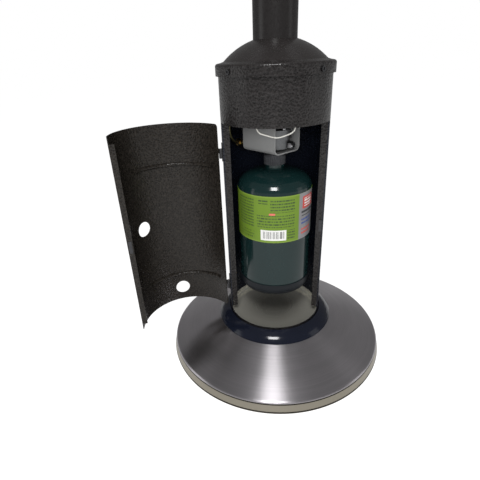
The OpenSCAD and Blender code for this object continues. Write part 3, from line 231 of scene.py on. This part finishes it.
def hammered_bronze(name, dark, light, gloss, relief, shaded_inside=None):
    """Hammer-finish powder coat: shallow dimples with darker valleys, smoother from the dome upwards. The
    dome's tone is painted light, close to the light end; the pole above it takes the middle tone.
    Its last argument is a span of radii where the tone is painted shade, a dark navy, on the inner face of
    the shell."""
    s = Shader(name)
    x, y, z = s.xyz()
    dimples = s.cells(DIMPLES, smooth=0.35)
    waves = s.noise(WAVES, 3.0, 0.5)
    fleck = s.noise(FLECKS, 3.0, 0.6)
    height = s.plus(dimples, s.times(waves, 0.5))
    plain = s.span(z, DOME_Z - 2 * MM, DOME_Z + 2 * MM)
    grain = s.span(s.plus(s.times(dimples, 0.5), s.times(fleck, 0.8)), *GRAIN_SEEN)
    # Painted light: the dome is made nearly as light as the light end, and the pole takes the middle tone.
    dome_light_and_pole_tone = s.span(z, DOME_TOP - MM, DOME_TOP + MM, DOME_LIT_TONE, POLE_TONE)
    tone = s.mix(s.mix(plain, grain, dome_light_and_pole_tone), dark, light)
    # Painted shade on the inner face of the shell.
    if shaded_inside:
        tone = s.mix(s.inside(s.radius(x, y), *shaded_inside), tone, INSIDE_SHADE_TONE)
    s.bump(height, DIMPLE_DEPTH, s.span(plain, 0.0, 1.0, relief, PLAIN_RELIEF))
    rough = s.span(s.noise(GLOSS_SPOTS), *MID, 0.22, 0.34)
    return s.surface(tone, rough, Specular_IOR_Level=gloss)


RING_DEPTH = 0.05 * MM
WIDE_RINGS, SMUDGES = 60.0, 14.0


def spun_metal(name, color, spread, rough, anisotropic, pitch=900.0, metallic=1.0, rimmed=False, shaded_middle=None):
    """Metal turned on a lathe: fine rings round the upright axis, which draw a highlight out towards it.
    rimmed gives it the tone and the dark bands of the rolled rim at its foot: the beige tone is a painted
    cream reflection, the lowest band is painted contact shadow and the two above it are seams. The span of
    radii in its last argument is painted shade: within it the tone falls, darkest in the middle under the
    gas cylinder."""
    s = Shader(name)
    x, y, z = s.xyz()
    radius = s.radius(x, y)
    along = s.plus(radius, s.times(z, 0.7))
    turn = s.math("ARCTAN2", y, x)
    rings = s.noise(1.0, 5.0, 0.75, s.combine(s.times(along, pitch), s.times(turn, 0.35), 0.0))
    broad = s.noise(1.0, 3.0, 0.6, s.combine(s.times(along, WIDE_RINGS), s.times(turn, 1.2), 3.0))
    value = s.plus(s.times(rings, 0.55), s.times(broad, 0.45))
    tone = s.mix(s.span(value, 0.32, 0.68), *shades(color, spread))
    if rimmed:
        # The beige rim tone is a painted cream reflection on the polished rim.
        tone = s.mix(s.span(z, RIM_Z - 2 * MM, RIM_Z, 1.0, 0.0), tone, RIM_REFLECTION_TONE)
        # The lowest dark band is painted contact shadow at the foot; the two above it are seams.
        for seam_and_shadow_z, half in RIM_SEAMS_AND_FOOT_SHADOW:
            tone = s.mix(s.math("COMPARE", z, seam_and_shadow_z, half), tone, shaded(RIM_REFLECTION_TONE, SEAM_AND_SHADOW_FACTOR))
    # Painted shade: the pan's tone falls towards its middle, under the gas cylinder.
    if shaded_middle:
        tone = s.mix(s.span(radius, *shaded_middle, 0.8, 0.0), tone, shaded(color, 0.2))
    s.bump(rings, RING_DEPTH, 0.6)
    wear = s.plus(s.times(rings, 0.5), s.times(s.noise(SMUDGES, 4.0, 0.6), 0.5))
    tangent = s.node("ShaderNodeTangent", direction_type="RADIAL", axis="Z")
    s.tree.links.new(tangent.outputs[0], s.bsdf.inputs["Tangent"])
    return s.surface(tone, s.span(wear, *MID, *rough), Metallic=metallic, Anisotropic=anisotropic,
                     Anisotropic_Rotation=0.25)


BLOTCHES = 22.0


def coat(name, color, rough, spread=0.15, metallic=0.0, grain=900.0, depth=0.02 * MM, **fixed):
    """Paint or moulded plastic with a faint grain, a change of tone and a change of gloss."""
    s = Shader(name)
    fine = s.noise(grain, 2.0, 0.5)
    broad = s.noise(BLOTCHES, 4.0, 0.6)
    tone = s.mix(s.plus(s.times(fine, 0.4), s.times(broad, 0.6)), *shades(color, spread))
    s.bump(fine, depth, 0.6)
    return s.surface(tone, s.span(broad, *MID, *rough), Metallic=metallic, **fixed)


PIT_DEPTH = 0.04 * MM
PITS_TO_MOTTLE = 4.0


def plated(name, color, rough=(0.22, 0.4), spread=0.2, scale=240.0):
    """Plated or cast metal with a mottled tone and small pits."""
    s = Shader(name)
    mottle = s.noise(scale, 5.0, 0.7)
    tone = s.mix(s.span(mottle, *MID), *shades(color, spread))
    s.bump(s.cells(scale * PITS_TO_MOTTLE, smooth=0.3), PIT_DEPTH, 0.35)
    return s.surface(tone, s.span(mottle, *MID, *rough), Metallic=1.0)


HEAT_TINTS = ((0.0, (0.44, 0.43, 0.42)), (0.45, (0.46, 0.40, 0.31)), (0.75, (0.36, 0.29, 0.27)),
              (1.0, (0.25, 0.26, 0.32)))
HEAT_STREAKS, BRUSH_LINES = (120.0, 120.0, 25.0), (900.0, 900.0, 30.0)
STEEL_GRAIN = 700.0
LINE_DEPTH = 0.03 * MM


def heated_steel(name, z0, z1):
    """Stainless steel that has turned straw, then blue, where it gets hot, between two heights."""
    s = Shader(name)
    z = s.xyz()[2]
    streak = s.noise(1.0, 4.0, 0.6, s.stretched(HEAT_STREAKS))
    heat = s.plus(s.span(z, z0, z1, 0.0, 0.8), s.times(streak, 0.35))
    s.bump(s.noise(STEEL_GRAIN, 2.0), LINE_DEPTH, 0.4)
    return s.surface(s.ramp(heat, *HEAT_TINTS), s.span(streak, *MID, 0.28, 0.45), Metallic=1.0)


def brushed_up(name, color):
    """Drawn or rolled metal with fine lines along Z."""
    s = Shader(name)
    lines = s.noise(1.0, 4.0, 0.7, s.stretched(BRUSH_LINES))
    tone = s.mix(s.span(lines, *MID), shaded(color, 0.75), color)
    s.bump(lines, LINE_DEPTH, 0.4)
    return s.surface(tone, s.span(lines, *MID, 0.25, 0.42), Metallic=1.0)


KNURLS_ROUND = 72.0
KNURLS_UP = 2600.0
KNURL_WEAR = 320.0
KNURL_TONES = ((0.032, 0.034, 0.038), (0.072, 0.074, 0.080))
KNURL_DEPTH = 0.12 * MM


def knurled():
    """Worn grey metal with a slanting knurl round the upright axis."""
    s = Shader("knurled_nut")
    x, y, z = s.xyz()
    wear = s.noise(KNURL_WEAR, 4.0, 0.7)
    tone = s.mix(s.span(wear, *MID), *KNURL_TONES)
    slant = s.plus(s.times(s.math("ARCTAN2", y, x), KNURLS_ROUND), s.times(z, KNURLS_UP))
    s.bump(s.math("SINE", slant), KNURL_DEPTH, 0.5)
    return s.surface(tone, s.span(wear, *MID, 0.32, 0.5), Metallic=0.6)


# The cylinder's label. An area is two angles in degrees about the cylinder's axis, of which 270 is the
# front, and two shares of the label's height. Print adds the lines on the label's whole height, the
# bars in a degree and the share that is inked.
FIELD_GREENS = ((0.095, 0.165, 0.012), (0.125, 0.205, 0.018))
EDGE_GREEN = (0.150, 0.230, 0.030)
EDGE_SHARE = 0.025
GREEN_INK, CODE_INK = (0.030, 0.055, 0.018), (0.06, 0.06, 0.06)
PAPER_WHITE, SIGN_RED, DASH_RED = (0.62, 0.62, 0.60), (0.42, 0.045, 0.035), (0.55, 0.12, 0.10)
GREEN_PRINT = ((205, 238, 0.30, 0.93, 16.0, 1.0, 0.55), (205, 238, 0.06, 0.26, 16.0, 1.2, 0.50),
               (246, 260, 0.84, 0.92, 16.0, 0.4, 0.70), (264, 301, 0.66, 0.93, 16.0, 0.9, 0.55),
               (243, 301, 0.34, 0.60, 16.0, 0.8, 0.52), (290, 302, 0.06, 0.28, 16.0, 1.0, 0.55))
RED_DASH = (262, 271, 0.61, 0.65)
CODE_BOX, CODE_LINES = (249, 288, 0.05, 0.28), (252, 285, 0.09, 0.25)
CODE_PITCH = 1.7
STRIPS = ((309, 352), (129, 172))
SILVERS = ((0.13, 0.13, 0.135), (0.22, 0.215, 0.22))
# Rows of the silver strips: how far they end before its end, their heights, and the rest as above
STRIP_ROWS = ((4, 0.50, 0.62, 11.0, 0.5, 0.70, (0.02, 0.02, 0.022)),
              (10, 0.32, 0.46, 13.0, 0.7, 0.60, (0.02, 0.05, 0.20)),
              (14, 0.10, 0.26, 12.0, 0.6, 0.60, SIGN_RED))
FIELD_BLOTCHES, STRIP_BLOTCHES, FILM_SPOTS, FILM_WAVES = 30.0, 40.0, 25.0, 60.0
FILM_DEPTH = 0.1 * MM


def printed_label():
    """Film round the gas cylinder: a green field with bars of generic print, and silver strips."""
    s = Shader("printed_label")
    x, y, z = s.xyz()
    angle = s.times(s.math("ARCTAN2", y, x), math.degrees(1.0))
    angle = s.math("MODULO", s.plus(angle, 360.0), 360.0)
    height = s.span(z, LABEL_Z0, LABEL_Z1)

    def area(a0, a1, h0, h1):
        return s.times(s.inside(angle, a0, a1), s.inside(height, h0, h1))

    def print_bars(a0, a1, h0, h1, lines, columns, fill):
        """Rows of short bars of uneven length, as print looks from a distance."""
        row = s.times(height, lines)
        words = s.noise(1.0, 0.0, 0.0, s.combine(s.times(angle, columns), s.math("FLOOR", row), 7.0))
        ink = s.times(s.inside(s.math("FRACT", row), 0.25, 0.75), s.math("LESS_THAN", words, fill))
        return s.times(area(a0, a1, h0, h1), ink)

    tone = s.mix(s.noise(FIELD_BLOTCHES), *FIELD_GREENS)
    for edge in ((0.0, EDGE_SHARE), (1.0 - EDGE_SHARE, 1.0)):
        tone = s.mix(s.inside(height, *edge), tone, EDGE_GREEN)
    for bars in GREEN_PRINT:
        tone = s.mix(print_bars(*bars), tone, GREEN_INK)
    tone = s.mix(area(*RED_DASH), tone, DASH_RED)
    tone = s.mix(area(*CODE_BOX), tone, PAPER_WHITE)
    code = s.noise(1.0, 0.0, 0.0, s.combine(s.times(angle, CODE_PITCH), 0.0, 0.0))
    tone = s.mix(s.times(area(*CODE_LINES), s.math("LESS_THAN", code, 0.5)), tone, CODE_INK)
    for a0, a1 in STRIPS:
        sign = (a0 + 11, a0 + 32, 0.70, 0.88)
        tone = s.mix(area(a0, a1, 0.0, 1.0), tone, s.mix(s.noise(STRIP_BLOTCHES), *SILVERS))
        tone = s.mix(area(a0 + 7, a0 + 36, 0.66, 0.92), tone, SIGN_RED)
        tone = s.mix(area(*sign), tone, PAPER_WHITE)
        tone = s.mix(print_bars(*sign, 17.0, 0.5, 0.62), tone, SIGN_RED)
        for before, h0, h1, lines, columns, fill, ink in STRIP_ROWS:
            tone = s.mix(print_bars(a0 + 5, a1 - before, h0, h1, lines, columns, fill), tone, ink)
    s.bump(s.noise(FILM_WAVES, 2.0), FILM_DEPTH, 0.25)
    return s.surface(tone, s.span(s.noise(FILM_SPOTS), *MID, 0.30, 0.42), Specular_IOR_Level=0.3)


BRONZE = {"dark": (0.0032, 0.0028, 0.0028), "light": (0.0198, 0.0177, 0.0174), "gloss": 0.31, "relief": 0.50}
MATERIALS = {
    "bronze_paint": hammered_bronze("hammered_bronze", **BRONZE),
    "brushed_stainless": spun_metal("brushed_stainless", (0.45, 0.43, 0.45), 0.14, (0.28, 0.35), 0.85,
                                    rimmed=True),
    # The pan's middle gets painted shade under the gas cylinder.
    "polished_steel": spun_metal("polished_steel", (0.80, 0.78, 0.69), 0.06, (0.10, 0.16), 0.3, pitch=400.0,
                                 metallic=0.72, shaded_middle=(20 * MM, 62 * MM)),
    "black_enamel": coat("black_enamel", (0.0055, 0.0070, 0.0135), (0.10, 0.14), 0.3,
                         Specular_IOR_Level=0.30),
    "zinc_steel": plated("zinc_steel", (0.46, 0.46, 0.47)),
    "dark_steel": plated("dark_steel", (0.07, 0.07, 0.073), (0.35, 0.5)),
    "cast_ballast": plated("cast_ballast", (0.05, 0.05, 0.052), (0.6, 0.8), 0.4, 500.0),
    "rubber_black": coat("rubber_black", (0.022, 0.022, 0.022), (0.65, 0.85), 0.3, depth=0.06 * MM),
    "bracket_grey": coat("bracket_grey", (0.255, 0.257, 0.255), (0.35, 0.5), 0.14, metallic=0.2,
                         grain=1400.0, depth=0.03 * MM),
    "diecast_grey": plated("diecast_grey", (0.20, 0.205, 0.21), (0.4, 0.58), 0.22, 420.0),
    "nut_grey": knurled(),
    "brass": plated("brass", (0.72, 0.53, 0.24), (0.18, 0.34), 0.15),
    "tube_metal": brushed_up("tube_metal", (0.16, 0.15, 0.075)),
    "cylinder_green": coat("cylinder_green", (0.0040, 0.0145, 0.0145), (0.10, 0.18), 0.2,
                           Specular_IOR_Level=0.38),
    "cup_plastic": coat("cup_plastic", (0.0045, 0.0060, 0.0080), (0.35, 0.5), 0.25, Specular_IOR_Level=0.25),
    "label_print": printed_label(),
    "white_plastic": coat("white_plastic", (0.70, 0.69, 0.66), (0.4, 0.55), 0.06),
    "lead_white": coat("lead_white", (0.66, 0.65, 0.60), (0.35, 0.5), 0.08),
    "lead_red": coat("lead_red", (0.36, 0.035, 0.028), (0.4, 0.55)),
    "black_plastic": coat("black_plastic", (0.018, 0.018, 0.019), (0.4, 0.58), 0.25, grain=1600.0,
                          depth=0.06 * MM),
    "red_plastic": coat("red_plastic", (0.42, 0.022, 0.016), (0.25, 0.4), 0.12),
    "spring_steel": plated("spring_steel", (0.5, 0.5, 0.5), (0.18, 0.3)),
    "burner_steel": heated_steel("burner_steel", SCREEN_Z0, SCREEN_Z0 + 40 * MM),
    "emitter_steel": heated_steel("emitter_steel", SCREEN_Z0 - 20 * MM, SCREEN_Z1),
    "ceramic": coat("ceramic", (0.74, 0.72, 0.66), (0.2, 0.35), 0.05),
    "reflector_alu": spun_metal("reflector_alu", (0.62, 0.62, 0.63), 0.07, (0.26, 0.36), 0.8, pitch=500.0),
}

for part in frame["record"]["subparts"]:
    shown = NODES[part["node"]]
    shown.data.materials.clear()
    shown.data.materials.append(MATERIALS[part["material_slot"]])

# The door's coat is browner than the rest, a painted warm light over the whole door, and the shell's inner
# face gets painted shade, a dark navy tone.
NODES["door_panel"].data.materials[0] = hammered_bronze(
    "warm_lit_bronze", dark=(0.0042, 0.0035, 0.0030), light=(0.0215, 0.0182, 0.0150), gloss=0.24, relief=0.42)
# The shell's inner face gets painted shade.
NODES["housing_shell"].data.materials[0] = hammered_bronze("inside_shaded_bronze", **BRONZE, shaded_inside=SHELL_INSIDE_SHADE)

# Pieces that take the place of plainer solids


def new_object(name, bm, material):
    """The built mesh as an object in the scene."""
    mesh = bpy.data.meshes.new(name)
    bm.to_mesh(mesh)
    bm.free()
    made = bpy.data.objects.new(name, mesh)
    bpy.context.scene.collection.objects.link(made)
    mesh.materials.append(material)
    return made


def new_piece(name, bm, slot, replaced):
    """The built mesh as a piece of the heater's own body, in the place of a CAD node."""
    piece = new_object(name, bm, MATERIALS[slot])
    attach(piece, "heater")
    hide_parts(replaced)
    return piece


# The screen's honeycomb: cells round it and up it, corners of a hole, and the hole's share of a cell
SCREEN_COLUMNS, SCREEN_ROWS, HOLE_CORNERS = 56, 21, 12
HOLE_SHARE = 0.36
SCREEN_BAND = 7 * MM
SCREEN_SHEET = 0.8 * MM
WELD = 0.02 * MM


def perforated_screen():
    """Cone of perforated sheet: a honeycomb of cells, each with a round hole, between two plain bands."""
    height = SCREEN_Z1 - SCREEN_Z0
    step = (height - 2 * SCREEN_BAND) / (SCREEN_ROWS + 1 / 3)
    cell = step / 0.75
    hole = HOLE_SHARE * 2 * math.pi * SCREEN_R1 / SCREEN_COLUMNS
    bm = bmesh.new()

    def radius_at(z):
        return SCREEN_R0 + (SCREEN_R1 - SCREEN_R0) * (z - SCREEN_Z0) / height

    def place(u, z):
        turn = 2 * math.pi * u / SCREEN_COLUMNS
        return bm.verts.new((radius_at(z) * math.cos(turn), radius_at(z) * math.sin(turn), z))

    def middle(row):
        return SCREEN_Z0 + SCREEN_BAND + cell / 2 + row * step

    tips = [(0.0, 0.5), (-0.5, 0.25), (-0.5, -0.25), (0.0, -0.5), (0.5, -0.25), (0.5, 0.25)]
    edge = []
    for tip, after in zip(tips, tips[1:] + tips[:1]):
        edge += [tip, ((tip[0] + after[0]) / 2, (tip[1] + after[1]) / 2)]
    for row in range(SCREEN_ROWS):
        z = middle(row)
        width = 2 * math.pi * radius_at(z) / SCREEN_COLUMNS
        for column in range(SCREEN_COLUMNS):
            u = column + 0.5 * (row % 2)
            outer = [place(u + a, z + b * cell) for a, b in edge]
            inner = []
            for k in range(HOLE_CORNERS):
                turn = 2 * math.pi * k / HOLE_CORNERS + math.pi / 2
                inner.append(place(u + hole * math.cos(turn) / width, z + hole * math.sin(turn)))
            for k in range(HOLE_CORNERS):
                n = (k + 1) % HOLE_CORNERS
                bm.faces.new((outer[k], outer[n], inner[n], inner[k]))
    zigzag = [(0.0, 0.5), (0.25, 0.375), (0.5, 0.25), (0.75, 0.375), (1.0, 0.5)]
    for row, z_plain, up in ((0, SCREEN_Z0, -1), (SCREEN_ROWS - 1, SCREEN_Z1, 1)):
        z = middle(row)
        for column in range(SCREEN_COLUMNS):
            u = column + 0.5 * (row % 2)
            for (a, b), (a2, b2) in zip(zigzag, zigzag[1:]):
                bm.faces.new((place(u + a, z + up * b * cell), place(u + a2, z + up * b2 * cell),
                              place(u + a2, z_plain), place(u + a, z_plain)))
    bmesh.ops.remove_doubles(bm, verts=bm.verts, dist=WELD)
    bmesh.ops.recalc_face_normals(bm, faces=bm.faces)
    screen = new_piece("emitter_mesh", bm, "emitter_steel", "emitter_screen")
    skin = screen.modifiers.new("sheet", "SOLIDIFY")
    skin.thickness = SCREEN_SHEET
    skin.offset = -1.0


# The springs' wire, a little thinner than in the CAD model, and how finely it is drawn
WIRE_R = 0.5 * MM
WIRE_SHARE = 0.8
WIRE_SIDES, STEPS_A_TURN = 8, 24


def coil_spring(name, node, turns):
    """A wound spring in the place of a CAD spring, wound along Y."""
    corner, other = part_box(node)
    wire = WIRE_SHARE * WIRE_R
    reach = (other.x - corner.x) / 2 - WIRE_R
    start, length = corner.y + WIRE_R, other.y - corner.y - 2 * WIRE_R
    x, z = (corner.x + other.x) / 2, (corner.z + other.z) / 2
    along = Vector((0.0, 1.0, 0.0))
    steps = STEPS_A_TURN * turns
    bm = bmesh.new()
    rings = []
    for k in range(steps + 1):
        turn = 2 * math.pi * k * turns / steps
        outward = Vector((math.cos(turn), 0.0, -math.sin(turn)))
        centre = Vector((x, start + length * k / steps, z)) + reach * outward
        round_wire = (2 * math.pi * n / WIRE_SIDES for n in range(WIRE_SIDES))
        rings.append([bm.verts.new(centre + wire * (math.cos(a) * outward + math.sin(a) * along))
                      for a in round_wire])
    for a, b in zip(rings, rings[1:]):
        for n in range(WIRE_SIDES):
            m = (n + 1) % WIRE_SIDES
            bm.faces.new((a[n], a[m], b[m], b[n]))
    bm.faces.new(rings[0])
    bm.faces.new(rings[-1])
    bmesh.ops.recalc_face_normals(bm, faces=bm.faces)
    for face in bm.faces:
        face.smooth = len(face.verts) == 4
    spring = new_piece(name, bm, "spring_steel", node)
    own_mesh(spring)


perforated_screen()
coil_spring("stem_coil", "stem_spring", 5)
coil_spring("igniter_coil", "igniter_spring", 6)

# Floor and backdrop. The camera, and rays through anything clear, see them white. Mirrored rays see
# only a share of that white, because metal and paint are as dark as in the photograph that way.
FLOOR_HALF = 30.0
FLOOR_PAPER, PAPER_BLOTCHES = (0.86, 0.90), 0.8
FLOOR_WHITE = 1.36
FLOOR_SEEN, FLOOR_MIRRORED = 0.70, 0.30
AROUND_LIGHT, BACKDROP_MIRRORED = 0.18, 0.05


def stage_floor():
    """Paper that keeps the heater's shadow, with a share of plain white over it."""
    bm = bmesh.new()
    bmesh.ops.create_grid(bm, x_segments=2, y_segments=2, size=FLOOR_HALF)
    s = Shader("floor_paper")
    s.surface(s.mix(s.noise(PAPER_BLOTCHES, 2.0), *FLOOR_PAPER), 0.9, Specular_IOR_Level=0.1)
    ray = s.node("ShaderNodeLightPath").outputs
    straight = s.math("MAXIMUM", ray["Is Camera Ray"], ray["Is Transmission Ray"])
    share = s.math("MAXIMUM", s.times(straight, FLOOR_SEEN), s.times(ray["Is Glossy Ray"], FLOOR_MIRRORED))
    white = s.node("ShaderNodeEmission", Color=grey(1.0), Strength=FLOOR_WHITE)
    both = s.fed("ShaderNodeMixShader", share, s.bsdf.outputs[0], white.outputs[0])
    s.tree.links.new(both.outputs[0], s.tree.nodes["Material Output"].inputs["Surface"])
    new_object("floor", bm, s.material)


def studio_world():
    """White to the camera. Everything else sees a dim, even grey."""
    world = bpy.data.worlds.new("studio")
    bpy.context.scene.world = world
    world.use_nodes = True
    tree = world.node_tree
    link = tree.links.new
    around = tree.nodes["Background"]
    around.inputs["Color"].default_value = grey(1.0)
    around.inputs["Strength"].default_value = AROUND_LIGHT
    white = tree.nodes.new("ShaderNodeBackground")
    white.inputs["Color"].default_value = grey(1.0)
    ray = tree.nodes.new("ShaderNodeLightPath").outputs
    straight = tree.nodes.new("ShaderNodeMath")
    straight.operation = "MAXIMUM"
    link(ray["Is Camera Ray"], straight.inputs[0])
    link(ray["Is Transmission Ray"], straight.inputs[1])
    share = tree.nodes.new("ShaderNodeMath")
    share.operation = "MULTIPLY_ADD"
    link(ray["Is Glossy Ray"], share.inputs[0])
    share.inputs[1].default_value = BACKDROP_MIRRORED
    link(straight.outputs[0], share.inputs[2])
    both = tree.nodes.new("ShaderNodeMixShader")
    link(share.outputs[0], both.inputs[0])
    link(around.outputs[0], both.inputs[1])
    link(white.outputs[0], both.inputs[2])
    link(both.outputs[0], tree.nodes["World Output"].inputs["Surface"])


stage_floor()
studio_world()


def lamp(name, place, aim, size, power, mirrored=True):
    """A rectangular lamp that faces a point. One that isn't mirrored lights faces without a streak."""
    data = bpy.data.lights.new(name, "AREA")
    data.shape = "RECTANGLE"
    data.size, data.size_y = size
    data.energy = power
    light = bpy.data.objects.new(name, data)
    light.location = place
    light.visible_glossy = mirrored
    light.rotation_euler = (Vector(aim) - Vector(place)).to_track_quat("-Z", "Y").to_euler()
    bpy.context.scene.collection.objects.link(light)


lamp("key", place=(-0.03, -1.00, 1.42), aim=(0.0, 0.0, 0.10), size=(0.42, 0.35), power=15.0)
lamp("front", place=(0.05, -1.45, 0.70), aim=(0.0, 0.0, 0.20), size=(1.2, 0.5), power=17.0, mirrored=False)
lamp("left", place=(-1.3, -0.33, 0.36), aim=(0.0, 0.0, 0.30), size=(0.5, 0.9), power=1.6)
lamp("right", place=(1.3, -0.20, 0.36), aim=(0.0, 0.0, 0.30), size=(0.4, 0.9), power=0.8)

# Camera, from the perspective of the photograph
CAMERA_PLACE = Vector((0.0, -0.48081, 0.40750))
HEADING, DOWN, ROLL = (math.radians(a) for a in (-5.932, 26.375, -2.435))
FOCAL_PIXELS, FRAME_PIXELS = 369.511, 480
SENSOR_MM = 36.0
CLIP = (0.01, 50.0)

forward = Vector((math.sin(HEADING) * math.cos(DOWN), math.cos(HEADING) * math.cos(DOWN), -math.sin(DOWN)))
level = Vector((math.cos(HEADING), -math.sin(HEADING), 0.0))
upward = level.cross(forward)
right = level * math.cos(ROLL) + upward * math.sin(ROLL)
top = upward * math.cos(ROLL) - level * math.sin(ROLL)
camera_data = bpy.data.cameras.new("camera")
camera_data.sensor_width = SENSOR_MM
camera_data.lens = SENSOR_MM * FOCAL_PIXELS / FRAME_PIXELS
camera_data.clip_start, camera_data.clip_end = CLIP
camera = bpy.data.objects.new("camera", camera_data)
camera.matrix_world = Matrix.Translation(CAMERA_PLACE) @ Matrix((right, top, -forward)).transposed().to_4x4()
bpy.context.scene.collection.objects.link(camera)
bpy.context.scene.camera = camera
bpy.context.scene.view_settings.view_transform = "Standard"
